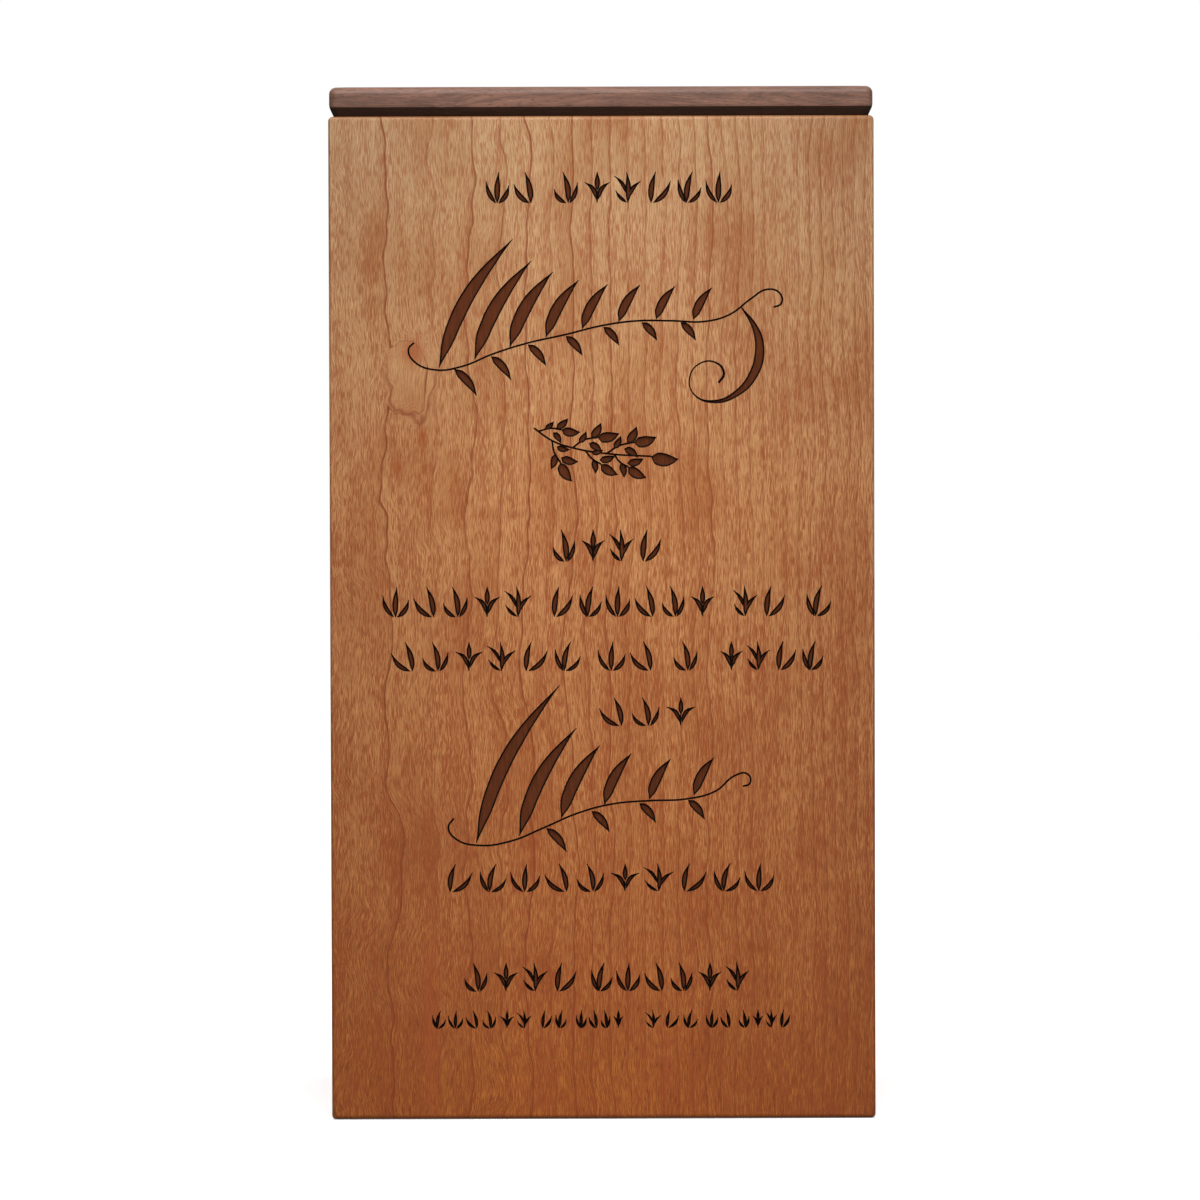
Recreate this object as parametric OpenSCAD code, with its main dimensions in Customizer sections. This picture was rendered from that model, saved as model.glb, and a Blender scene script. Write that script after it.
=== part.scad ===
// Cremation urn box: four mitred cherry boards, a bottom board let into them,
// and a thin walnut lid that lifts off. The front faces -Y, and the origin is
// the centre of the underside.

/* [Box] */
// Outside width, left to right
box_w = 140; // [100:1:240]
// Outside depth, front to back
box_d = 140; // [100:1:240]
// Height of the boards, from the table to the rim
box_h = 258; // [120:1:400]
// Thickness of the boards
wall_t = 10; // [8:0.5:16]
// Radius sanded on the outer edges
edge_r = 1.2; // [0.6:0.1:2.5]

/* [Bottom board] */
// Thickness of the bottom board
bottom_t = 8; // [5:0.5:12]
// How far the bottom board is let into each wall
rebate_w = 5; // [2:0.5:6]

/* [Lid] */
// Thickness of the lid's edge
lid_t = 7.5; // [6:0.5:14]
// How far the lid's edge stands back from the walls
lid_setback = 0.25; // [0:0.05:1.5]
// Radius on the lid's top edges and corners
lid_r = 1.8; // [1:0.1:2.5]
// Height of the bevel under the lid's edge
bevel_h = 2.1; // [1:0.1:3]
// How far that bevel cuts in at the rim
bevel_in = 1.1; // [0.5:0.1:2.5]
// How deep the lid's plug reaches into the box
plug_t = 5; // [2:0.5:12]
// Clearance between the plug and the walls
plug_gap = 0.5; // [0.2:0.1:1.5]

/* [Hidden] */
$fn = 48;

cherry = [0.68, 0.45, 0.29];
cherry_inside = [0.62, 0.42, 0.28];
walnut = [0.49, 0.35, 0.29];

inner_w = box_w - 2 * wall_t;
inner_d = box_d - 2 * wall_t;
lid_w = box_w - 2 * lid_setback;
lid_d = box_d - 2 * lid_setback;
eps = 0.01;

// Rectangle w by h with its lower left corner at the origin and all four corners
// rounded by r.
module rounded_rectangle(w, h, r) {
    translate([r, 0]) square([w - 2 * r, h]);
    translate([0, r]) square([w, h - 2 * r]);
    for (x = [r, w - r], y = [r, h - r]) translate([x, y]) circle(r);
}

// The board's section, seen along its length: x is the depth behind the outer
// face, y the height. The outer arrises are rounded, and the foot of the inner
// face is rebated for the bottom board.
module board_section() {
    difference() {
        union() {
            rounded_rectangle(wall_t, box_h, edge_r);
            translate([wall_t / 2, 0]) square([wall_t / 2, box_h]);
        }
        translate([wall_t - rebate_w, -eps]) square([rebate_w + eps, bottom_t + eps]);
    }
}

// What the sanding takes off the vertical arris at the origin, for a board that
// lies in +x and +y.
module arris_waste(height) {
    translate([0, 0, -eps])
        linear_extrude(height + 2 * eps)
            difference() {
                translate([-eps, -eps]) square(edge_r + eps);
                translate([edge_r, edge_r]) circle(edge_r);
            }
}

// One board, its outer face on y = 0 and its length along x, centred. Both ends
// are cut at 45 degrees.
module mitred_board(length) {
    difference() {
        translate([-length / 2, 0, 0])
            rotate([90, 0, 90]) linear_extrude(length) board_section();
        for (side = [0, 1]) mirror([side, 0, 0]) translate([-length / 2, 0, 0]) {
            rotate([0, 0, 45]) translate([-eps, 0, -eps])
                cube([2 * wall_t, 2 * wall_t, box_h + 2 * eps]);
            arris_waste(box_h);
        }
    }
}

module front_panel() {
    color(cherry) translate([0, -box_d / 2, 0]) mitred_board(box_w);
}

module back_panel() {
    color(cherry) rotate([0, 0, 180]) translate([0, -box_d / 2, 0]) mitred_board(box_w);
}

module left_panel() {
    color(cherry) rotate([0, 0, -90]) translate([0, -box_w / 2, 0]) mitred_board(box_d);
}

module right_panel() {
    color(cherry) rotate([0, 0, 90]) translate([0, -box_w / 2, 0]) mitred_board(box_d);
}

// The bottom board fills the rebate and lies flush with the foot of the walls.
module bottom_board() {
    color(cherry_inside)
        translate([-inner_w / 2 - rebate_w, -inner_d / 2 - rebate_w, 0])
            cube([inner_w + 2 * rebate_w, inner_d + 2 * rebate_w, bottom_t]);
}

// The lid's slab on z = 0, with rounded corners and a rounded top edge.
module lid_slab() {
    core_w = lid_w - 2 * lid_r;
    core_d = lid_d - 2 * lid_r;
    round_z = lid_t - lid_r;
    translate([-lid_w / 2, -lid_d / 2, 0])
        linear_extrude(round_z) rounded_rectangle(lid_w, lid_d, lid_r);
    translate([-core_w / 2, -core_d / 2, 0]) cube([core_w, core_d, lid_t]);
    for (y = [-core_d / 2, core_d / 2])
        translate([-core_w / 2, y, round_z]) rotate([0, 90, 0]) cylinder(h = core_w, r = lid_r);
    for (x = [-core_w / 2, core_w / 2])
        translate([x, core_d / 2, round_z]) rotate([90, 0, 0]) cylinder(h = core_d, r = lid_r);
    for (x = [-core_w / 2, core_w / 2], y = [-core_d / 2, core_d / 2])
        translate([x, y, round_z]) sphere(lid_r);
}

// The wedge that bevels the foot of the lid's edge on the side at y = -reach.
module bevel_waste(reach, length) {
    slope = atan(bevel_in / bevel_h);
    translate([-length, -reach + bevel_in, 0])
        rotate([slope, 0, 0]) translate([0, -3 * bevel_h, -2 * bevel_h])
            cube([2 * length, 3 * bevel_h, 4 * bevel_h]);
}

// The lid is one board: a slab that lies on the rim, and a plug left standing
// under it that drops inside the walls.
module lid() {
    plug_w = inner_w - 2 * plug_gap;
    plug_d = inner_d - 2 * plug_gap;
    color(walnut) translate([0, 0, box_h]) {
        difference() {
            lid_slab();
            for (turn = [0, 180]) rotate([0, 0, turn]) bevel_waste(lid_d / 2, lid_w);
            for (turn = [90, 270]) rotate([0, 0, turn]) bevel_waste(lid_w / 2, lid_d);
        }
        translate([-plug_w / 2, -plug_d / 2, -plug_t]) cube([plug_w, plug_d, plug_t + 1]);
    }
}

front_panel();
back_panel();
left_panel();
right_panel();
bottom_board();
lid();
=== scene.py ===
# Cremation urn box: cherry boards with a burnt-in inscription, walnut lid.
import math

import bmesh
import bpy
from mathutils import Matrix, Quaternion, Vector


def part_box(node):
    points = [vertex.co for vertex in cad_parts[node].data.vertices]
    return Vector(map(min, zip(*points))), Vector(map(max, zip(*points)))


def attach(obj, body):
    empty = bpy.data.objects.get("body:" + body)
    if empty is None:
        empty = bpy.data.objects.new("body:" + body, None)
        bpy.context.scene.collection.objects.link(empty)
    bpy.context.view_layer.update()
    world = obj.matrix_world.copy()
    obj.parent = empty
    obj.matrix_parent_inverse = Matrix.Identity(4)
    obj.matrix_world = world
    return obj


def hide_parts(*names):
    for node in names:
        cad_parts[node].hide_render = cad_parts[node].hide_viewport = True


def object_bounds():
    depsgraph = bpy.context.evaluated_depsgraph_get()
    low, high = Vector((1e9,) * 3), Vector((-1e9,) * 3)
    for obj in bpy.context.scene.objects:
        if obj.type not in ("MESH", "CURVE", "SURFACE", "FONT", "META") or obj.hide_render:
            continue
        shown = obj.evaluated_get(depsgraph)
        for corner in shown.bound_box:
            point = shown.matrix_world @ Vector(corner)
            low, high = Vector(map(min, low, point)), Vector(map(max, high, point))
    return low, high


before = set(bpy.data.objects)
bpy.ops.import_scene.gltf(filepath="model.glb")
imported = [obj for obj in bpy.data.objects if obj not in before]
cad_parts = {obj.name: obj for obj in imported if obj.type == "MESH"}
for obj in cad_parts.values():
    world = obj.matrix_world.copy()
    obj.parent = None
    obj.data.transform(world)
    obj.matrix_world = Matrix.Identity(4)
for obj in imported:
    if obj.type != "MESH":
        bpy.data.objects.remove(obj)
cadLow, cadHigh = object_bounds()
print("frame loaded:", ", ".join(sorted(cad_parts)))

mm = 0.001
tiny = 1e-5                             # m, points closer than this are in one place
boardLow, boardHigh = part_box("front_panel")
trayLow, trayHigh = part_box("bottom_board")
lidLow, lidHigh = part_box("lid")

faceY = boardLow.y                      # the front face, seen by the camera
rimZ = boardHigh.z                      # where the lid rests
wallT = boardHigh.y - boardLow.y
trayT = trayHigh.z - trayLow.z
innerHalf = cadHigh.x - wallT           # half the inside width
rebate = trayHigh.x - innerHalf         # how far the bottom board is let in


def pick(obj):
    # leaves only obj selected, and active
    bpy.ops.object.select_all(action="DESELECT")
    obj.select_set(True)
    bpy.context.view_layer.objects.active = obj


def selectIn(obj, kind, test):
    # edit mode, with the faces or edges selected that pass the test
    pick(obj)
    bpy.ops.object.mode_set(mode="EDIT")
    bpy.ops.mesh.select_mode(type=kind)
    bpy.ops.mesh.select_all(action="DESELECT")
    mesh = bmesh.from_edit_mesh(obj.data)
    for item in (mesh.faces if kind == "FACE" else mesh.edges):
        if test(item):
            item.select_set(True)
    bmesh.update_edit_mesh(obj.data)


def leaveEdit():
    bpy.ops.object.mode_set(mode="OBJECT")


def block(name, low, high):
    # a cube primitive, added at its size and place
    bpy.ops.object.select_all(action="DESELECT")
    middle = (low + high) / 2
    bpy.ops.mesh.primitive_cube_add(size=1, location=middle, scale=high - low)
    obj = bpy.context.object
    obj.name = obj.data.name = name
    bpy.ops.object.transform_apply(location=True, rotation=True, scale=True)
    return obj


def sliceOff(obj, point, direction, keepAll=False):
    # bisects the whole mesh, and drops what lies beyond the plane
    selectIn(obj, "FACE", lambda face: True)
    bpy.ops.mesh.bisect(
        plane_co=point, plane_no=direction, use_fill=not keepAll, clear_outer=not keepAll
    )
    leaveEdit()


def faceOut(obj):
    # an extruded or filled face can point inwards
    selectIn(obj, "FACE", lambda face: True)
    bpy.ops.mesh.normals_make_consistent(inside=False)
    leaveEdit()


def carve(obj, cutter, operation="DIFFERENCE"):
    cut = obj.modifiers.new("carve", "BOOLEAN")
    cut.operation = operation
    cut.solver = "MANIFOLD"
    cut.object = cutter
    pick(obj)
    bpy.ops.object.modifier_apply(modifier=cut.name)


def smoothEdges(obj, angle=35):
    # rounded arrises shade smooth, the flats stay flat
    pick(obj)
    bpy.ops.object.shade_smooth_by_angle(angle=math.radians(angle))
    even = obj.modifiers.new("even", "WEIGHTED_NORMAL")
    even.keep_sharp = True
    bpy.ops.object.modifier_apply(modifier=even.name)


# The camera is level with the top of the lid, looks slightly down, and is far away with a long lens
shot = {
    "distance": 3.0,
    "height": 0.2665,
    "aim": (-0.0006, 0.1337),           # x and z of the point looked at on the front face
    "lens": 350.5,
    "roll": 0.18,                       # degrees, so that the box leans a hair
    "sensor": 36,
    "clip": (0.1, 60),
}


def makeCamera():
    bpy.ops.object.camera_add()
    camera = bpy.context.object
    camera.name = "shotCamera"
    target = Vector((shot["aim"][0], faceY, shot["aim"][1]))
    camera.location = (shot["aim"][0], faceY - shot["distance"], shot["height"])
    look = (target - camera.location).to_track_quat("-Z", "Y")
    roll = Quaternion((0, 0, 1), math.radians(-shot["roll"]))
    camera.rotation_mode = "QUATERNION"
    camera.rotation_quaternion = look @ roll
    camera.data.lens = shot["lens"]
    camera.data.sensor_width = shot["sensor"]
    camera.data.clip_start, camera.data.clip_end = shot["clip"]
    bpy.context.scene.camera = camera


makeCamera()
print("camera set")


# The boards
board = {
    "arris": 1.2 * mm,                  # radius sanded on the outer edges
    "arrisSteps": 6,
    "jointBevel": 0.12 * mm,            # fine V where two mitred boards meet
}


def makeBoard(name):
    # one mitred board, standing at the front
    half = cadHigh.x
    low = Vector((-half, faceY, trayT))
    high = Vector((half, faceY + wallT, rimZ))
    obj = block(name, low, high)
    tongueY = faceY + wallT - rebate
    sliceOff(obj, (0, tongueY, 0), (0, 1, 0), keepAll=True)

    # the outer half runs on down past the bottom board
    selectIn(obj, "FACE", lambda f: f.normal.z < -0.9 and f.calc_center_median().y < tongueY)
    bpy.ops.mesh.extrude_region_move(TRANSFORM_OT_translate={"value": (0, 0, -trayT)})
    leaveEdit()

    onFace = faceY + tiny
    selectIn(obj, "EDGE", lambda e: all(v.co.y < onFace for v in e.verts)
             and (abs(e.verts[0].co.x - e.verts[1].co.x) > half or isOuter(e, half)))
    bpy.ops.mesh.bevel(offset=board["arris"], segments=board["arrisSteps"], profile=0.5)
    leaveEdit()

    for side in (-1, 1):                # both ends are cut at 45 degrees
        sliceOff(obj, (side * half, faceY, 0), (side, 1, 0))
    corner = board["arris"] * (1 - math.sqrt(0.5))
    selectIn(obj, "EDGE", lambda e: isUpright(e) and abs(e.verts[0].co.x) > half - corner - tiny
             and e.verts[0].co.y < faceY + corner + tiny)
    bpy.ops.mesh.bevel(offset=board["jointBevel"], segments=1)
    leaveEdit()
    faceOut(obj)
    return obj


def isUpright(edge):
    a, b = (v.co for v in edge.verts)
    return abs(a.z - b.z) > 0.1 and (a.xy - b.xy).length < tiny


def isOuter(edge, half):
    return all(abs(abs(v.co.x) - half) < tiny for v in edge.verts)


def copyTurned(source, name, degrees):
    obj = source.copy()
    obj.data = source.data.copy()
    obj.name = obj.data.name = name
    bpy.context.scene.collection.objects.link(obj)
    obj.rotation_euler.z = math.radians(degrees)
    pick(obj)
    bpy.ops.object.transform_apply(location=False, rotation=True, scale=False)
    return obj


frontBoard = makeBoard("frontBoard")
backBoard = copyTurned(frontBoard, "backBoard", 180)
leftBoard = copyTurned(frontBoard, "leftBoard", -90)
rightBoard = copyTurned(frontBoard, "rightBoard", 90)
print("four boards mitred")


# The bottom board, let into the rebate with a hair of clearance
tray = {"clearance": 0.08 * mm, "bevel": 0.25 * mm, "bevelSteps": 2}


def makeTray():
    gap = Vector((tray["clearance"], tray["clearance"], 0))
    obj = block("bottomBoard", trayLow + gap, trayHigh - gap)
    selectIn(obj, "EDGE", lambda e: True)
    bpy.ops.mesh.bevel(offset=tray["bevel"], segments=tray["bevelSteps"])
    leaveEdit()
    smoothEdges(obj)
    return obj


bottomBoard = makeTray()
print("bottom board made")


# The lid: one board with a plug left standing under it
lid = {
    "edge": 1.8 * mm,                   # radius on the top edges and corners
    "edgeSteps": 8,
    "bevelHigh": 2.4 * mm,              # the bevel that meets the rim
    "bevelIn": 1.1 * mm,
    "eased": 0.7 * mm,                  # rounding where that bevel meets the edge
    "easedSteps": 4,
    "plugGap": 0.5 * mm,
}


def makeLid():
    obj = block("walnutLid", Vector((lidLow.x, lidLow.y, rimZ)), lidHigh)
    sliceOff(obj, (0, 0, rimZ + lid["bevelHigh"]), (0, 0, 1), keepAll=True)
    width = lidHigh.x - lidLow.x
    shrink = 1 - 2 * lid["bevelIn"] / width
    selectIn(obj, "FACE", lambda f: f.normal.z < -0.9)
    bpy.ops.transform.resize(value=(shrink, shrink, 1), center_override=(0, 0, rimZ))
    leaveEdit()

    # corners and top edge are rounded over together
    selectIn(obj, "EDGE", lambda e: isCorner(e) or all(v.co.z > lidHigh.z - tiny for v in e.verts))
    bpy.ops.mesh.bevel(offset=lid["edge"], segments=lid["edgeSteps"], profile=0.5)
    leaveEdit()

    turnZ = rimZ + lid["bevelHigh"]
    selectIn(obj, "EDGE", lambda e: all(abs(v.co.z - turnZ) < tiny for v in e.verts))
    bpy.ops.mesh.bevel(offset=lid["eased"], segments=lid["easedSteps"], profile=0.5)
    leaveEdit()

    inset = lidHigh.x - lid["bevelIn"] - (innerHalf - lid["plugGap"])
    selectIn(obj, "FACE", lambda f: f.normal.z < -0.9 and f.calc_area() > 0.01)
    bpy.ops.mesh.inset(thickness=inset, use_boundary=True)
    bpy.ops.mesh.extrude_region_move(TRANSFORM_OT_translate={"value": (0, 0, lidLow.z - rimZ)})
    leaveEdit()
    faceOut(obj)
    smoothEdges(obj)
    return obj


def isCorner(edge):
    a, b = (v.co for v in edge.verts)
    return abs(a.z - b.z) > 1e-4 and (a.xy - b.xy).length < 0.01 and min(abs(a.x), abs(a.y)) > 0.05


walnutLid = makeLid()
print("lid made")


# The inscription: leaves and hairlines burnt into the front board
burn = {
    "depth": 0.8,                       # mm below the face
    "steep": 1.9,                       # wall depth for each mm of half width
    "hair": 0.25,                       # half width of a hairline
    "tip": 0.1,                         # half width where a leaf runs out
    "rise": 0.6,                        # how far the cut runs on above the face, in half widths
}

# Each row has its foot and top in mm, then its groups: left end, right end, marks
rows = [
    (235.7, 243.7, [(-29.6, -16.7, 2), (-12.1, 33.5, 6)]),
    (143.6, 151.8, [(-12.6, 15.2, 4)]),
    (129.4, 137.2, [(-56.6, -18.3, 5), (-13.8, 28.9, 6), (33.6, 47.0, 2), (51.7, 58.8, 1)]),
    (115.5, 123.0, [(-54.6, -5.7, 6), (-1.3, 13.9, 2), (18.3, 25.0, 1), (30.2, 56.7, 4)]),
    (101.3, 108.6, [(-1.2, 24.0, 3)]),
    (58.6, 65.8, [(-41.2, 43.9, 10)]),
    (32.9, 40.3, [(-35.8, -6.9, 4), (-3.8, 37.5, 6)]),
    (23.4, 28.0, [(-44.5, -18.5, 6), (-16.4, -9.6, 2), (-7.1, 5.1, 4), (10.7, 24.2, 3),
                  (26.3, 33.0, 2), (34.9, 48.0, 4)]),
]
rowStyle = {"leaf": 0.1, "space": 0.13}       # half width and gap, for each mm of height

# A mark is a tuft of leaves in a cell one wide and one high: each leaf has its foot,
# its tip, a sideways bow and a weight
marks = [
    [(0.50, 0.00, 0.56, 1.00, 0.03, 1.0), (0.44, 0.00, 0.02, 0.72, 0.10, 0.75),
     (0.56, 0.00, 1.00, 0.58, -0.10, 0.85)],
    [(0.24, 0.00, 0.42, 1.00, 0.07, 1.0), (0.32, 0.00, 0.98, 0.70, -0.12, 0.9)],
    [(0.50, 0.40, 0.50, 1.00, 0.00, 0.9), (0.46, 0.12, 0.02, 0.66, -0.12, 0.8),
     (0.54, 0.12, 0.98, 0.66, 0.12, 0.8), (0.50, 0.00, 0.50, 0.44, 0.02, 0.4)],
    [(0.78, 0.00, 0.52, 1.00, -0.07, 1.0), (0.70, 0.00, 0.04, 0.62, 0.12, 0.9)],
    [(0.40, 0.00, 0.12, 0.74, 0.06, 0.8), (0.44, 0.00, 0.66, 1.00, 0.08, 1.0),
     (0.50, 0.00, 1.00, 0.50, -0.10, 0.75)],
    [(0.50, 0.00, 0.46, 1.00, -0.05, 0.9), (0.46, 0.30, 0.00, 0.86, -0.08, 0.65),
     (0.46, 0.02, 0.04, 0.40, 0.05, 0.6), (0.52, 0.14, 1.00, 0.70, 0.08, 0.75)],
    [(0.60, 0.00, 0.90, 0.66, -0.06, 0.75), (0.54, 0.00, 0.34, 1.00, -0.08, 1.0),
     (0.46, 0.00, 0.00, 0.46, 0.10, 0.75)],
]

# A flourish is a vine with leaves above and below it. Leaves have where on the vine they
# begin and end, how many, the longest, the shortest, and their lean
flourishes = [
    {
        "vine": [(-48.2, 200.0), (-49.6, 198.2), (-48.2, 195.2), (-43.0, 193.0), (-36.0, 193.8),
                 (-28.0, 197.0), (-19.0, 199.8), (-9.0, 202.0), (0.0, 204.2), (9.0, 205.4),
                 (18.0, 205.4), (26.6, 205.2), (33.0, 207.0), (38.4, 211.0), (42.6, 213.4),
                 (45.8, 212.4), (46.2, 209.8), (44.2, 208.8)],
        "leaves": [(0.115, 0.73, 8, 38.0, 9.5, 60), (0.15, 0.70, 7, 9.0, 6.0, -50)],
    },
    {
        "vine": [(-38.4, 77.6), (-39.8, 75.2), (-37.8, 72.2), (-32.0, 70.6), (-24.0, 71.6),
                 (-15.0, 75.2), (-6.6, 78.8), (2.6, 81.2), (12.2, 82.0), (21.4, 82.4),
                 (29.0, 84.4), (34.0, 88.4), (37.2, 88.8), (37.8, 86.4), (36.0, 85.6)],
        "leaves": [(0.13, 0.78, 6, 46.0, 11.0, 62), (0.34, 0.76, 4, 8.0, 6.5, -50)],
    },
]
# the curl that hangs from the end of the first, thick and thin like a pen's
swash = [(35.8, 209.0, 0.15), (39.6, 203.2, 0.85), (40.6, 197.6, 1.25), (39.0, 191.6, 1.2),
         (34.8, 186.8, 0.85), (28.8, 184.6, 0.45), (23.8, 186.4, 0.2), (22.6, 190.8, 0.2),
         (25.2, 194.4, 0.2), (29.4, 194.6, 0.25), (31.4, 191.8, 0.35), (30.0, 189.4, 0.3)]

# The sprig: a stem, and twigs with their place on it, lean, length, leaves and leaf size
sprig = {
    "stem": [(-17.5, 178.0), (-12.6, 174.6), (-6.5, 172.6), (2.5, 171.2), (12.6, 170.6)],
    "twigs": [(0.05, 50, 6.0, 4, 0.85), (0.18, -44, 6.2, 4, 1.0), (0.36, 52, 7.0, 4, 1.0),
              (0.46, -42, 5.6, 4, 0.9), (0.64, 40, 7.6, 4, 1.05), (0.70, -50, 5.0, 3, 0.95),
              (0.985, -4, 0.5, 1, 1.25)],
    "tipLeaf": 5.7,                     # length of a twig's last leaf
    "sideLeaf": 4.6,
    "plump": 0.245,                     # half width for each mm of length
}


def turned(arrow, degrees):
    angle = math.radians(degrees)
    return Vector((arrow.x * math.cos(angle) - arrow.y * math.sin(angle),
                   arrow.x * math.sin(angle) + arrow.y * math.cos(angle)))


def spotOn(path, share):
    # the point that share of the way along a path, and the direction there
    points = [Vector(point) for point in path]
    lengths = [(b - a).length for a, b in zip(points, points[1:])]
    left = share * sum(lengths)
    for start, end, length in zip(points, points[1:], lengths):
        if left <= length:
            break
        left -= length
    return start + (end - start) * min(left / length, 1), (end - start).normalized()


def leaf(foot, tip, bow, half, fullness=0.7):
    # a stroke that swells in the middle, as points with a half width;
    # its end is more pointed than its foot
    steps = 6
    foot, tip = Vector(foot), Vector(tip)
    along = tip - foot
    aside = Vector((-along.y, along.x)).normalized()
    points = []
    for step in range(steps + 1):
        done = step / steps
        swell = math.sin(math.pi * done ** 0.8)
        spot = foot + along * done + aside * bow * math.sin(math.pi * done)
        points.append((spot.x, spot.y, max(burn["tip"], half * swell ** (fullness + 0.4 * done))))
    return points


def rowLeaves():
    # in turns, so that leaves with a common foot aren't cut at once
    turns = [[], [], [], []]
    count = 0
    for foot, top, groups in rows:
        high = top - foot
        space = rowStyle["space"] * high
        for left, right, number in groups:
            pitch = (right - left + space) / number
            wide = pitch - space
            for place in range(number):
                x = left + place * pitch
                for turn, (fx, fz, tx, tz, bow, weight) in zip(turns, marks[count * 3 % len(marks)]):
                    turn.append(leaf((x + fx * wide, foot + fz * high), (x + tx * wide, foot + tz * high),
                                     bow * wide, rowStyle["leaf"] * high * weight))
                count += 1
        count += 1
    return turns


def flourishLeaves(flourish):
    turns = [[], [], [], []]
    for turn, (first, last, number, longest, shortest, lean) in zip(turns, flourish["leaves"]):
        for place in range(number):
            done = place / (number - 1)
            spot, along = spotOn(flourish["vine"], first + (last - first) * done)
            foot = spot + turned(along, math.copysign(90, lean)) * 0.4
            size = shortest + (longest - shortest) * (1 - done) ** 2.4
            tip = foot + turned(Vector((size, 0)), lean)
            turn.append(leaf(foot, tip, 0.07 * size, 0.75 + 0.045 * min(size, 24), 0.6))
    return turns


def sprigLines():
    # the stem and its twigs, and their leaves in turns
    twigs = []
    turns = [[], [], [], []]
    for share, lean, reach, number, size in sprig["twigs"]:
        foot, along = spotOn(sprig["stem"], share)
        out, back = turned(along, lean), turned(along, lean * 0.55)
        middle = foot + out * reach * 0.5
        end = middle + back * reach * 0.5
        twigs.append([foot, middle, end])
        length = sprig["tipLeaf"] * size
        turns[0].append(leaf(end, end + back * length, -0.08 * length, sprig["plump"] * length, 0.55))
        for place in range(1, number):
            side = 1 if place % 2 else -1
            length = sprig["sideLeaf"] * size * (1.1 - 0.12 * place)
            spot = foot.lerp(end, (0.8, 0.6, 0.3)[place - 1]) + turned(out, 90 * side) * 0.6
            tip = spot + turned(back, 46 * side) * length
            turns[place].append(leaf(spot, tip, -0.08 * length * side, sprig["plump"] * length, 0.55))
    return twigs, turns


def hairlines(paths):
    return [[(x, z, burn["hair"]) for x, z in path] for path in paths]


def makeCutter(name, strokes, smooth=5):
    # sweeps a V along every stroke, as wide as the brush, and flattens it at full depth
    rise = burn["rise"]
    bpy.ops.object.select_all(action="DESELECT")
    bpy.ops.curve.primitive_bezier_curve_add()
    edge = bpy.context.object
    edge.data.splines.clear()
    edge.data.dimensions = "2D"
    tool = edge.data.splines.new("POLY")
    tool.points.add(2)
    tool.use_cyclic_u = True
    corners = [(-1 - rise, burn["steep"] * rise), (0, -burn["steep"]), (1 + rise, burn["steep"] * rise)]
    for point, (x, y) in zip(tool.points, corners):
        point.co = (x * mm, y * mm, 0, 1)

    bpy.ops.curve.primitive_bezier_curve_add()
    obj = bpy.context.object
    obj.name = name
    path = obj.data
    path.splines.clear()
    path.dimensions = "3D"
    path.twist_mode = "Z_UP"
    path.bevel_mode = "OBJECT"
    path.bevel_object = edge
    path.use_fill_caps = True
    path.resolution_u = smooth
    for stroke in strokes:
        spline = path.splines.new("BEZIER")
        spline.radius_interpolation = "CARDINAL"
        spline.bezier_points.add(len(stroke) - 1)
        for point, (x, z, half) in zip(spline.bezier_points, stroke):
            point.co = (x * mm, z * mm, 0)
            point.radius = half
            point.handle_left_type = point.handle_right_type = "AUTO"
    obj.location = (0, faceY, 0)
    obj.rotation_euler = (math.pi / 2, 0, 0)
    pick(obj)
    bpy.ops.object.convert(target="MESH")
    bpy.ops.object.transform_apply(location=True, rotation=True, scale=True)
    selectIn(obj, "FACE", lambda face: True)
    bpy.ops.mesh.remove_doubles(threshold=2e-6)
    bpy.ops.mesh.normals_make_consistent(inside=False)
    leaveEdit()
    layer = block("layer", Vector((-0.1, faceY - 0.05 * mm, -0.1)),
                  Vector((0.1, faceY + burn["depth"] * mm, 0.4)))
    carve(obj, layer, "INTERSECT")
    bpy.data.objects.remove(layer)
    bpy.data.objects.remove(edge)
    return obj


twigs, sprigTurns = sprigLines()
leafTurns = [rowLeaves(), sprigTurns] + [flourishLeaves(flourish) for flourish in flourishes]
passes = [sum(turn, []) for turn in zip(*leafTurns)]
passes[0].append(swash)
passes.append(hairlines([flourish["vine"] for flourish in flourishes] + [sprig["stem"]]))
passes.append(hairlines(twigs))
for number, strokes in enumerate(passes):
    cutter = makeCutter("burn%d" % number, strokes)
    carve(frontBoard, cutter)
    bpy.data.objects.remove(cutter)
    print("inscription pass", number + 1, "with", len(strokes), "strokes")
for obj in (frontBoard, backBoard, leftBoard, rightBoard):
    smoothEdges(obj)


def hexColour(text):
    # sRGB hex to linear
    parts = [int(text[i:i + 2], 16) / 255 for i in (1, 3, 5)]
    return tuple(c / 12.92 if c <= 0.04045 else ((c + 0.055) / 1.055) ** 2.4 for c in parts) + (1,)


def addNode(tree, kind, inputs=None, out=0, stops=(), **settings):
    # adds a node, sets it and links its inputs; gives back the wanted output
    node = tree.nodes.new("ShaderNode" + kind)
    for name, value in settings.items():
        setattr(node, name, value)
    for name, value in (inputs or {}).items():
        if isinstance(value, bpy.types.NodeSocket):
            tree.links.new(value, node.inputs[name])
        else:
            node.inputs[name].default_value = value
    for index, (position, colour) in enumerate(stops):      # of a colour ramp
        elements = node.color_ramp.elements
        element = elements[index] if index < 2 else elements.new(1.0)
        element.position = position
        element.color = hexColour(colour) if isinstance(colour, str) else (colour, colour, colour, 1)
    return node.outputs[out] if node.outputs else node


def newMaterial(name):
    material = bpy.data.materials.new(name)
    material.use_nodes = True
    material.node_tree.nodes.clear()
    return material, material.node_tree


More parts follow.
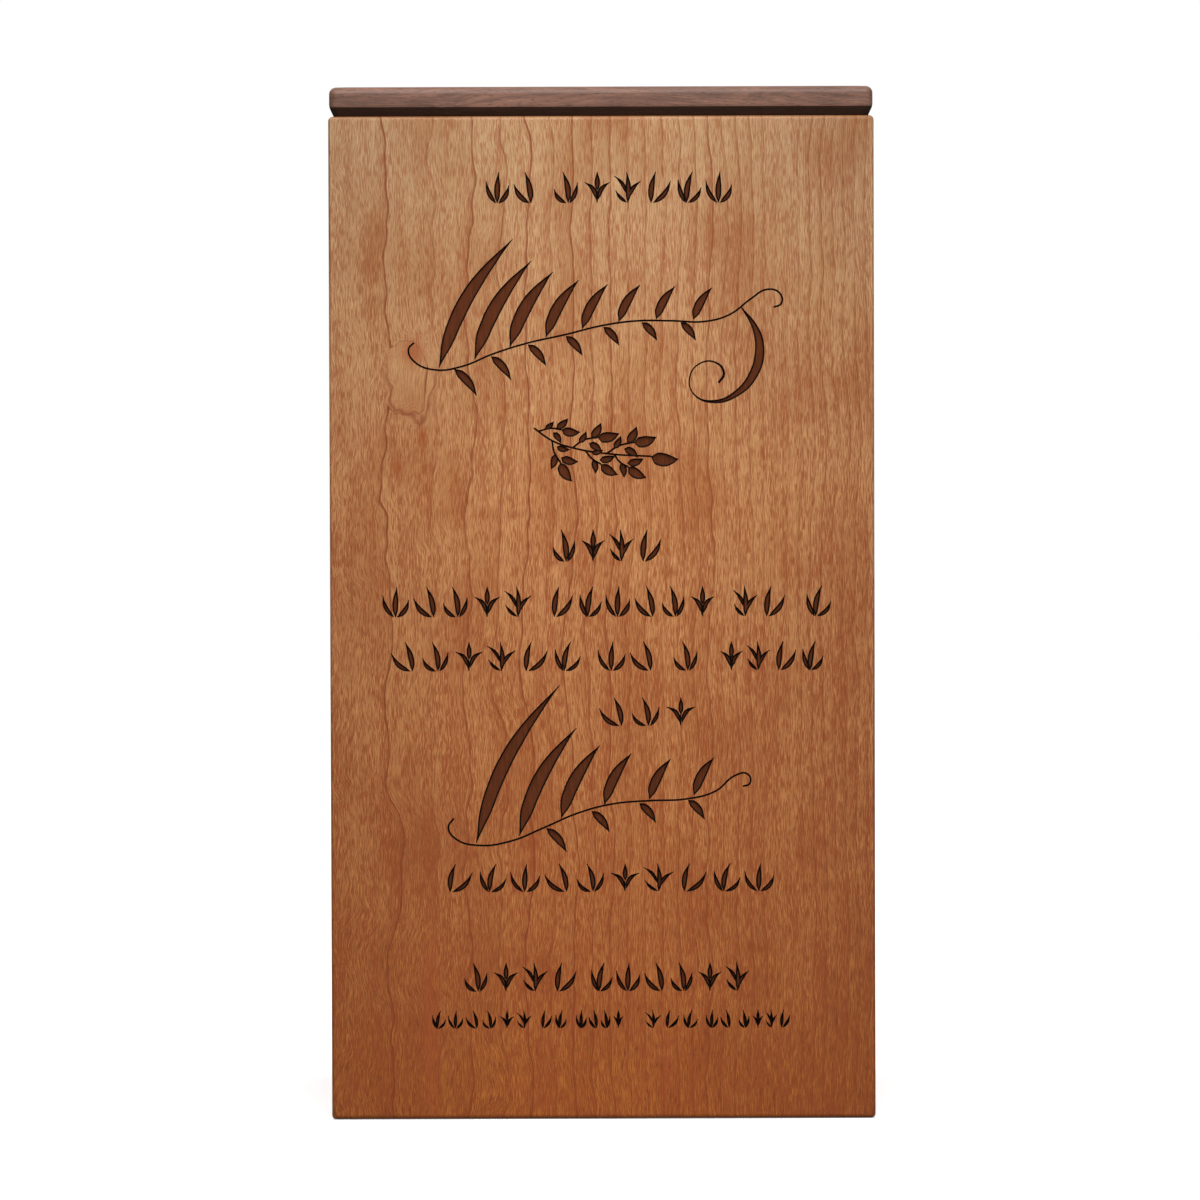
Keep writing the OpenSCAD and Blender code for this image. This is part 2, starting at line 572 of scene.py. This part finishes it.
cherry = {
    "foot": "#A96224", "middle": "#C18A57", "sheenLitHead": "#B8936A",      # painted light by height: darker and redder at the foot as painted shade, paler at the head as painted sheen
    "ruddy": "#E4CDB8", "fibre": "#B08A70",             # what darkens the patches and the fibres
    "line": "#78330D", "fleck": "#8A4116", "stainAndShade": "#96491C", "end": "#7E4A28",
    "firstRing": -84.0,                 # mm across: the rings lie wide here and close up to the right
    "ringRate": 0.0012,                 # how fast they close up
    "ringSeed": 1352,                   # which rings are dark and which faint
    "lineWide": 1.1,                    # mm that a ring's dark edge fades over
    "lines": (0.9, 0.4),                # how strong the ring edges are at the middle and at the right
    "wave": (19.0, 6.0),                # how much slow waves move the rings, at the left and the right
    "roughness": 0.42,
}
# Where a bud grew over: centre, half width and height in mm, and how far it pushes the rings
bud = (-48.5, 191.0, 6.5, 9.5, 9.0)
# Gum stains beside it: centre, half width and height in mm
stains = [(-48.5, 197.5, 3.6, 4.2), (-52.6, 168.0, 1.6, 2.4), (-46.0, 175.7, 1.6, 2.8),
          (-44.5, 26.0, 3.0, 30.0)]


def makeCherry(name, turn=0, shift=(0, 0, 0), marked=False):
    # satin varnished cherry: warm and silky, with fine dark ring lines broken into dashes,
    # and red-brown flecks all over, a quarter of a millimetre wide
    look = cherry
    material, tree = newMaterial(name)
    place = addNode(tree, "TexCoord", out="Object")
    upright = addNode(tree, "Mapping", {"Vector": place, "Rotation": (0, 0, math.radians(turn)),
                                        "Scale": (1 / mm, 1 / mm, 1 / mm)})
    grain = addNode(tree, "VectorMath", {0: upright, 1: shift}, operation="ADD")

    # the rings run up the board, moved across it by slow waves
    slow = addNode(tree, "Mapping", {"Vector": grain, "Scale": (1 / 28, 1 / 28, 1 / 30)})
    slow = addNode(tree, "TexNoise", {"Vector": slow, "Scale": 1, "Detail": 2, "Roughness": 0.5})
    slow = addNode(tree, "Math", {0: slow, 1: 0.5}, operation="SUBTRACT")
    side = addNode(tree, "SeparateXYZ", {0: upright})
    leftWave, rightWave = look["wave"]
    wave = addNode(tree, "MapRange", {"Value": side, "From Min": -60, "From Max": 10,
                                      "To Min": leftWave, "To Max": rightWave})
    wave = addNode(tree, "Math", {0: slow, 1: wave}, operation="MULTIPLY")
    if marked:
        centreX, centreZ, wide, high, push = bud
        near = addNode(tree, "VectorMath", {0: grain, 1: (centreX, 0, centreZ)}, operation="SUBTRACT")
        near = addNode(tree, "VectorMath", {0: near, 1: (1 / wide, 0, 1 / high)}, operation="MULTIPLY")
        near = addNode(tree, "VectorMath", {0: near}, out="Value", operation="LENGTH")
        ragged = addNode(tree, "Mapping", {"Vector": grain, "Scale": (1 / 5, 1 / 5, 1 / 8)})
        ragged = addNode(tree, "TexNoise", {"Vector": ragged, "Scale": 1, "Detail": 2})
        near = addNode(tree, "Math", {0: ragged, 1: 1.3, 2: near}, operation="MULTIPLY_ADD")
        inBud = addNode(tree, "MapRange", {"Value": near, "From Min": 1.95, "From Max": 1.35},
                        interpolation_type="SMOOTHSTEP")
        wave = addNode(tree, "Math", {0: inBud, 1: -push, 2: wave}, operation="MULTIPLY_ADD")
    bent = addNode(tree, "CombineXYZ", {0: wave})
    bent = addNode(tree, "VectorMath", {0: bent, 1: grain}, operation="ADD")
    reach = addNode(tree, "SeparateXYZ", {0: bent})
    reach = addNode(tree, "Math", {0: reach, 1: look["firstRing"]}, operation="SUBTRACT")
    phase = addNode(tree, "Math", {0: reach, 1: reach}, operation="MULTIPLY")
    phase = addNode(tree, "Math", {0: phase, 1: look["ringRate"]}, operation="MULTIPLY")
    across = addNode(tree, "Math", {0: phase}, operation="FRACT")
    # mm left to the ring's outer edge
    short = addNode(tree, "Math", {0: 1.0, 1: across}, operation="SUBTRACT")
    short = addNode(tree, "Math", {0: short, 1: reach}, operation="DIVIDE")
    short = addNode(tree, "Math", {0: short, 1: 0.5 / look["ringRate"] / look["lineWide"]},
                    operation="MULTIPLY")
    ring = addNode(tree, "Math", {0: phase}, operation="FLOOR")
    ring = addNode(tree, "Math", {0: ring, 1: look["ringSeed"]}, operation="ADD")
    ring = addNode(tree, "TexWhiteNoise", {"W": ring}, noise_dimensions="1D")

    # flecks, long along the grain, thicker in some zones than in others
    fleck = addNode(tree, "Mapping", {"Vector": grain, "Scale": (3.8, 3.8, 0.33)})
    fleck = addNode(tree, "TexNoise", {"Vector": fleck, "Scale": 1, "Detail": 1, "Roughness": 0.5})
    zone = addNode(tree, "Mapping", {"Vector": grain, "Scale": (1 / 2.4, 1 / 2.4, 1 / 26)})
    zone = addNode(tree, "TexNoise", {"Vector": zone, "Scale": 1, "Detail": 2})
    fleckHere = addNode(tree, "Math", {0: zone, 1: 0.45, 2: fleck}, operation="MULTIPLY_ADD")
    flecks = addNode(tree, "ValToRGB", {0: fleckHere}, stops=[(0.73, 0.0), (0.80, 1.0)])
    # the ring lines, dashed by the flecks
    edge = addNode(tree, "ValToRGB", {0: short}, stops=[(0.0, 1.0), (0.32, 0.9), (0.46, 0.25), (1.0, 0.0)])
    dash = addNode(tree, "ValToRGB", {0: fleck}, stops=[(0.34, 0.7), (0.5, 1.0)])
    level = addNode(tree, "Math", {0: ring, 1: 0.85, 2: 0.2}, operation="MULTIPLY_ADD")
    line = addNode(tree, "Math", {0: edge, 1: level}, operation="MULTIPLY")
    line = addNode(tree, "Math", {0: line, 1: dash}, operation="MULTIPLY")
    if marked:                          # a dark seam under the bud
        seam = addNode(tree, "MapRange", {"Value": near, "From Min": 1.5, "From Max": 1.8})
        seam = addNode(tree, "ValToRGB", {0: seam}, stops=[(0.2, 0.0), (0.5, 0.7), (0.6, 0.7), (0.9, 0.0)])
        below = addNode(tree, "SeparateXYZ", {0: grain}, out="Z")
        below = addNode(tree, "MapRange", {"Value": below, "From Min": centreZ + 6,
                                           "From Max": centreZ - 3})
        seam = addNode(tree, "Math", {0: seam, 1: below}, operation="MULTIPLY")
        line = addNode(tree, "Math", {0: line, 1: seam}, operation="MAXIMUM")
    fibre = addNode(tree, "Mapping", {"Vector": bent, "Scale": (4.2, 4.2, 0.26)})
    fibre = addNode(tree, "TexNoise", {"Vector": fibre, "Scale": 1, "Detail": 3, "Roughness": 0.65})

    # colour: pale to ruddy in soft patches, painted light by height (painted shade at the foot, painted
    # sheen at the head), then what lies on it
    patch = addNode(tree, "Mapping", {"Vector": grain, "Scale": (1 / 14, 1 / 14, 1 / 30)})
    patch = addNode(tree, "TexNoise", {"Vector": patch, "Scale": 1, "Detail": 2})
    patch = addNode(tree, "Math", {0: across, 1: 0.15, 2: patch}, operation="MULTIPLY_ADD")
    height = addNode(tree, "SeparateXYZ", {0: upright}, out="Z")
    height = addNode(tree, "MapRange", {"Value": height, "From Min": 0, "From Max": rimZ / mm})
    # painted light: this ramp by height darkens and reddens the foot and pales the head
    colour = addNode(tree, "ValToRGB", {0: height},
                     stops=[(0.05, look["foot"]), (0.62, look["middle"]), (0.97, look["sheenLitHead"])])
    ruddy = addNode(tree, "ValToRGB", {0: patch}, stops=[(0.5, 1.0), (0.8, look["ruddy"])])
    tone = addNode(tree, "ValToRGB", {0: fibre}, stops=[(0.36, look["fibre"]), (0.62, 1.0)])
    strength = addNode(tree, "MapRange", {"Value": height, "To Min": 1.0, "To Max": 0.55})
    for darker, amount in ((ruddy, 1.0), (tone, strength)):
        colour = addNode(tree, "Mix", {0: amount, 6: colour, 7: darker}, out=2, data_type="RGBA",
                         blend_type="MULTIPLY")
    if marked:
        for centreX, centreZ, wide, high in stains:
            spot = addNode(tree, "VectorMath", {0: grain, 1: (centreX, 0, centreZ)}, operation="SUBTRACT")
            spot = addNode(tree, "VectorMath", {0: spot, 1: (1 / wide, 0, 1 / high)}, operation="MULTIPLY")
            spot = addNode(tree, "VectorMath", {0: spot}, out="Value", operation="LENGTH")
            spot = addNode(tree, "MapRange", {"Value": spot, "From Min": 1.3, "From Max": 0.2,
                                              "To Max": 0.75}, interpolation_type="SMOOTHSTEP")
            colour = addNode(tree, "Mix", {0: spot, 6: colour, 7: hexColour(look["stainAndShade"])}, out=2,
                             data_type="RGBA")
        flecks = addNode(tree, "Math", {0: inBud, 1: -0.7, 2: flecks}, operation="MULTIPLY_ADD",
                         use_clamp=True)
    amount = addNode(tree, "MapRange", {"Value": height, "To Min": 1.0, "To Max": 0.5})
    amount = addNode(tree, "Math", {0: flecks, 1: amount}, operation="MULTIPLY")
    colour = addNode(tree, "Mix", {0: amount, 6: colour, 7: hexColour(look["fleck"])}, out=2,
                     data_type="RGBA")
    amount = addNode(tree, "MapRange", {"Value": side, "From Min": 0, "From Max": 60,
                                        "To Min": look["lines"][0], "To Max": look["lines"][1]})
    amount = addNode(tree, "Math", {0: line, 1: amount}, operation="MULTIPLY")
    colour = addNode(tree, "Mix", {0: amount, 6: colour, 7: hexColour(look["line"])}, out=2,
                     data_type="RGBA")

    # painted shade: the board darkens and reddens towards its left and right ends, where the light falls
    # off; end grain drinks more finish
    sideShade = addNode(tree, "Math", {0: side}, operation="ABSOLUTE")
    sideShade = addNode(tree, "ValToRGB", {0: addNode(tree, "Math", {0: sideShade, 1: 70}, operation="DIVIDE")},
                    stops=[(0.25, 1.0), (0.95, 0.82)])
    colour = addNode(tree, "Mix", {0: 1.0, 6: colour, 7: sideShade}, out=2, data_type="RGBA",
                     blend_type="MULTIPLY")
    facing = addNode(tree, "SeparateXYZ", {0: addNode(tree, "TexCoord", out="Normal")}, out="Z")
    facing = addNode(tree, "Math", {0: facing}, operation="ABSOLUTE")
    facing = addNode(tree, "ValToRGB", {0: facing}, stops=[(0.6, 0.0), (0.95, 0.55)])
    colour = addNode(tree, "Mix", {0: facing, 6: colour, 7: hexColour(look["end"])}, out=2,
                     data_type="RGBA")

    relief = addNode(tree, "Math", {0: flecks, 1: -0.5, 2: fibre}, operation="MULTIPLY_ADD")
    relief = addNode(tree, "Math", {0: line, 1: -0.5, 2: relief}, operation="MULTIPLY_ADD")
    normal = addNode(tree, "Bump", {"Height": relief, "Strength": 0.45, "Distance": 0.05 * mm})
    rough = addNode(tree, "Math", {0: fibre, 1: 0.18, 2: look["roughness"] - 0.09},
                    operation="MULTIPLY_ADD")
    shader = addNode(tree, "BsdfPrincipled", {"Base Color": colour, "Roughness": rough,
                                              "Normal": normal, "IOR": 1.38})
    addNode(tree, "OutputMaterial", {"Surface": shader})
    return material


walnut = {
    "mid": "#855C4A", "deep": "#664434", "pore": "#341F18", "roughness": 0.5,
    "stainAndShade": "#1E120D",                 # painted shade: the near-black put on the bevel under the rim, which faces down into shadow
}


def makeWalnut(name, shadedBevel=False):
    # oiled walnut, matt and cool brown, with short dark pores and grain from side to side
    look = walnut
    material, tree = newMaterial(name)
    place = addNode(tree, "TexCoord", out="Object")
    grain = addNode(tree, "Mapping", {"Vector": place, "Scale": (1 / mm, 1 / mm, 1 / mm)})
    slow = addNode(tree, "Mapping", {"Vector": grain, "Scale": (1 / 60, 1 / 18, 1 / 18)})
    slow = addNode(tree, "TexNoise", {"Vector": slow, "Scale": 1, "Detail": 2}, out="Color")
    bent = addNode(tree, "VectorMath", {0: slow, 1: (0, 14, 14), 2: grain}, operation="MULTIPLY_ADD")
    band = addNode(tree, "Mapping", {"Vector": bent, "Scale": (1 / 90, 1 / 4, 1 / 4)})
    band = addNode(tree, "TexNoise", {"Vector": band, "Scale": 1, "Detail": 3})
    fibre = addNode(tree, "Mapping", {"Vector": bent, "Scale": (0.09, 1.9, 1.9)})
    fibre = addNode(tree, "TexNoise", {"Vector": fibre, "Scale": 1, "Detail": 3, "Roughness": 0.6})
    pore = addNode(tree, "Mapping", {"Vector": grain, "Scale": (0.55, 4.2, 4.2)})
    pore = addNode(tree, "TexNoise", {"Vector": pore, "Scale": 1, "Detail": 1})
    pores = addNode(tree, "ValToRGB", {0: pore}, stops=[(0.56, 0.0), (0.7, 0.6)])
    colour = addNode(tree, "ValToRGB", {0: band}, stops=[(0.35, look["mid"]), (0.7, look["deep"])])
    tone = addNode(tree, "ValToRGB", {0: fibre}, stops=[(0.32, 0.5), (0.66, 1.0)])
    colour = addNode(tree, "Mix", {0: 1.0, 6: colour, 7: tone}, out=2, data_type="RGBA",
                     blend_type="MULTIPLY")
    colour = addNode(tree, "Mix", {0: pores, 6: colour, 7: hexColour(look["pore"])}, out=2,
                     data_type="RGBA")
    # painted shade: the bevel copy is mixed nearly to black and reflects less
    if shadedBevel:
        colour = addNode(tree, "Mix", {0: 0.9, 6: colour, 7: hexColour(look["stainAndShade"])}, out=2,
                         data_type="RGBA")
    relief = addNode(tree, "Math", {0: pores, 1: -0.6, 2: fibre}, operation="MULTIPLY_ADD")
    normal = addNode(tree, "Bump", {"Height": relief, "Strength": 0.45, "Distance": 0.06 * mm})
    rough = addNode(tree, "Math", {0: fibre, 1: 0.15, 2: look["roughness"] - 0.08},
                    operation="MULTIPLY_ADD")
    shader = addNode(tree, "BsdfPrincipled", {"Base Color": colour, "Roughness": rough,
                                              "Normal": normal, "IOR": 1.15 if shadedBevel else 1.45})
    addNode(tree, "OutputMaterial", {"Surface": shader})
    return material


# the wall colour is the char of the burn together with painted shade, the inner shadow of the cut
char = {"floor": "#5A2B12", "wall": "#190D07", "roughness": 0.75}


def makeChar(name, part):
    # laser-burnt cherry: matt, red-brown where it is flat; on the walls the char is darkened to nearly
    # black with painted shade
    material, tree = newMaterial(name)
    place = addNode(tree, "TexCoord", out="Object")
    fibre = addNode(tree, "Mapping", {"Vector": place, "Scale": (1.8 / mm, 1.8 / mm, 0.22 / mm)})
    fibre = addNode(tree, "TexNoise", {"Vector": fibre, "Scale": 1, "Detail": 3, "Roughness": 0.6})
    tone = addNode(tree, "ValToRGB", {0: fibre}, stops=[(0.3, 0.6), (0.7, 1.0)])
    colour = addNode(tree, "Mix", {0: 1.0, 6: hexColour(char[part]), 7: tone}, out=2,
                     data_type="RGBA", blend_type="MULTIPLY")
    normal = addNode(tree, "Bump", {"Height": fibre, "Strength": 0.5, "Distance": 0.08 * mm})
    shader = addNode(tree, "BsdfPrincipled", {"Base Color": colour, "Roughness": char["roughness"],
                                              "Normal": normal, "IOR": 1.2})
    addNode(tree, "OutputMaterial", {"Surface": shader})
    return material


def paint(obj, *materials):
    obj.data.materials.clear()
    for material in materials:
        obj.data.materials.append(material)


def assignWhere(obj, index, test):
    selectIn(obj, "FACE", test)
    obj.active_material_index = index
    bpy.ops.object.material_slot_assign()
    leaveEdit()


def isBurnt(face):
    # below the face of the front board, but not in the rounded edges
    spot = face.calc_center_median()
    inset = board["arris"] * 1.2
    return (faceY + 1e-6 < spot.y < faceY + (burn["depth"] + 0.05) * mm
            and abs(spot.x) < cadHigh.x - inset and inset < spot.z < rimZ - inset)


paint(frontBoard, makeCherry("cherryFront", marked=True), makeChar("burntWall", "wall"),
      makeChar("burntFloor", "floor"))
# the walls of the cut take the char darkened with painted shade
assignWhere(frontBoard, 1, isBurnt)
assignWhere(frontBoard, 2, lambda f: isBurnt(f) and f.normal.y < -0.99)
paint(backBoard, makeCherry("cherryBack", turn=180, shift=(24, 8, 310)))
paint(leftBoard, makeCherry("cherryLeft", turn=90, shift=(6, 5, 640)))
paint(rightBoard, makeCherry("cherryRight", turn=-90, shift=(38, -6, 980)))
paint(bottomBoard, makeCherry("cherryBottom", shift=(10, 0, 1300)))
paint(walnutLid, makeWalnut("walnutOiled"), makeWalnut("walnutBevelShade", shadedBevel=True))
# painted shade: the bevel under the rim, and the plug, take the near-black copy
assignWhere(walnutLid, 1, lambda f: f.calc_center_median().z < rimZ + lid["bevelHigh"] - tiny)
print("finishes done")


# Floor, world and lights
studio = {
    "floorZ": -0.15 * mm,               # a hair low, so that it doesn't fight with the underside
    "floor": "#EDEDED",                 # as the camera sees it
    "bounce": "#8C8C8C",                # as the box sees it, so that little light comes up
    "fade": (1.2, 2.6),                 # m from the box where the floor melts into the backdrop
    "zenith": 1.3, "horizon": 0.15,     # how bright the room is overhead and at eye level
    "key": ((0.0, -0.85, 0.95), 0.9, 14.0),    # place, size and power
    "fill": ((1.1, -1.3, 0.6), 1.0, 3.8),
}


def makeStudio():
    bpy.ops.object.select_all(action="DESELECT")
    bpy.ops.mesh.primitive_plane_add(size=24, location=(0, 0, studio["floorZ"]))
    floor = bpy.context.object
    floor.name = "floor"
    material, tree = newMaterial("palePaper")
    seen = addNode(tree, "LightPath", out="Is Camera Ray")
    tint = addNode(tree, "Mix", {0: seen, 6: hexColour(studio["bounce"]), 7: hexColour(studio["floor"])},
                   out=2, data_type="RGBA")
    paper = addNode(tree, "BsdfDiffuse", {"Color": tint})
    glow = addNode(tree, "Emission", {"Color": (1, 1, 1, 1), "Strength": 0.3})
    nothing = addNode(tree, "Emission", {"Strength": 0})
    glow = addNode(tree, "MixShader", {0: seen, 1: nothing, 2: glow})
    paper = addNode(tree, "AddShader", {0: paper, 1: glow})
    away = addNode(tree, "VectorMath", {0: addNode(tree, "TexCoord", out="Object")}, out="Value",
                   operation="LENGTH")
    near, far = studio["fade"]
    away = addNode(tree, "MapRange", {"Value": away, "From Min": near, "From Max": far},
                   interpolation_type="SMOOTHSTEP")
    paper = addNode(tree, "MixShader", {0: away, 1: paper, 2: addNode(tree, "BsdfTransparent")})
    addNode(tree, "OutputMaterial", {"Surface": paper})
    paint(floor, material)

    world = bpy.data.worlds.new("studioWorld")
    world.use_nodes = True
    tree = world.node_tree
    tree.nodes.clear()
    up = addNode(tree, "SeparateXYZ", {0: addNode(tree, "TexCoord", out="Generated")}, out="Z")
    room = addNode(tree, "MapRange", {"Value": up, "From Min": 0, "From Max": 1,
                                      "To Min": studio["horizon"], "To Max": studio["zenith"]})
    seen = addNode(tree, "LightPath", out="Is Camera Ray")
    level = addNode(tree, "Mix", {0: seen, 2: room, 3: 1.0})
    glow = addNode(tree, "Background", {"Color": (1, 1, 1, 1), "Strength": level})
    addNode(tree, "OutputWorld", {"Surface": glow})
    bpy.context.scene.world = world

    for name in ("key", "fill"):
        spot, size, power = studio[name]
        bpy.ops.object.light_add(type="AREA", location=spot)
        light = bpy.context.object
        light.name = name + "Softbox"
        light.data.shape = "SQUARE"
        light.data.size = size
        light.data.energy = power
        aim = Vector((0, 0, 0.15)) - Vector(spot)
        light.rotation_mode = "QUATERNION"
        light.rotation_quaternion = aim.to_track_quat("-Z", "Y")
    bpy.context.scene.view_settings.view_transform = "Standard"
    bpy.context.scene.view_settings.look = "None"


makeStudio()
print("studio lit")


# Every piece rides with the box and stands for its CAD node
standIns = [
    (frontBoard, "front_panel", "cherry"), (backBoard, "back_panel", "cherry"),
    (leftBoard, "left_panel", "cherry"), (rightBoard, "right_panel", "cherry"),
    (bottomBoard, "bottom_board", "cherry_board"), (walnutLid, "lid", "walnut"),
]
for piece, node, finish in standIns:
    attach(piece, "root")
    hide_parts(node)

print("pieces:", len(standIns), "size written")
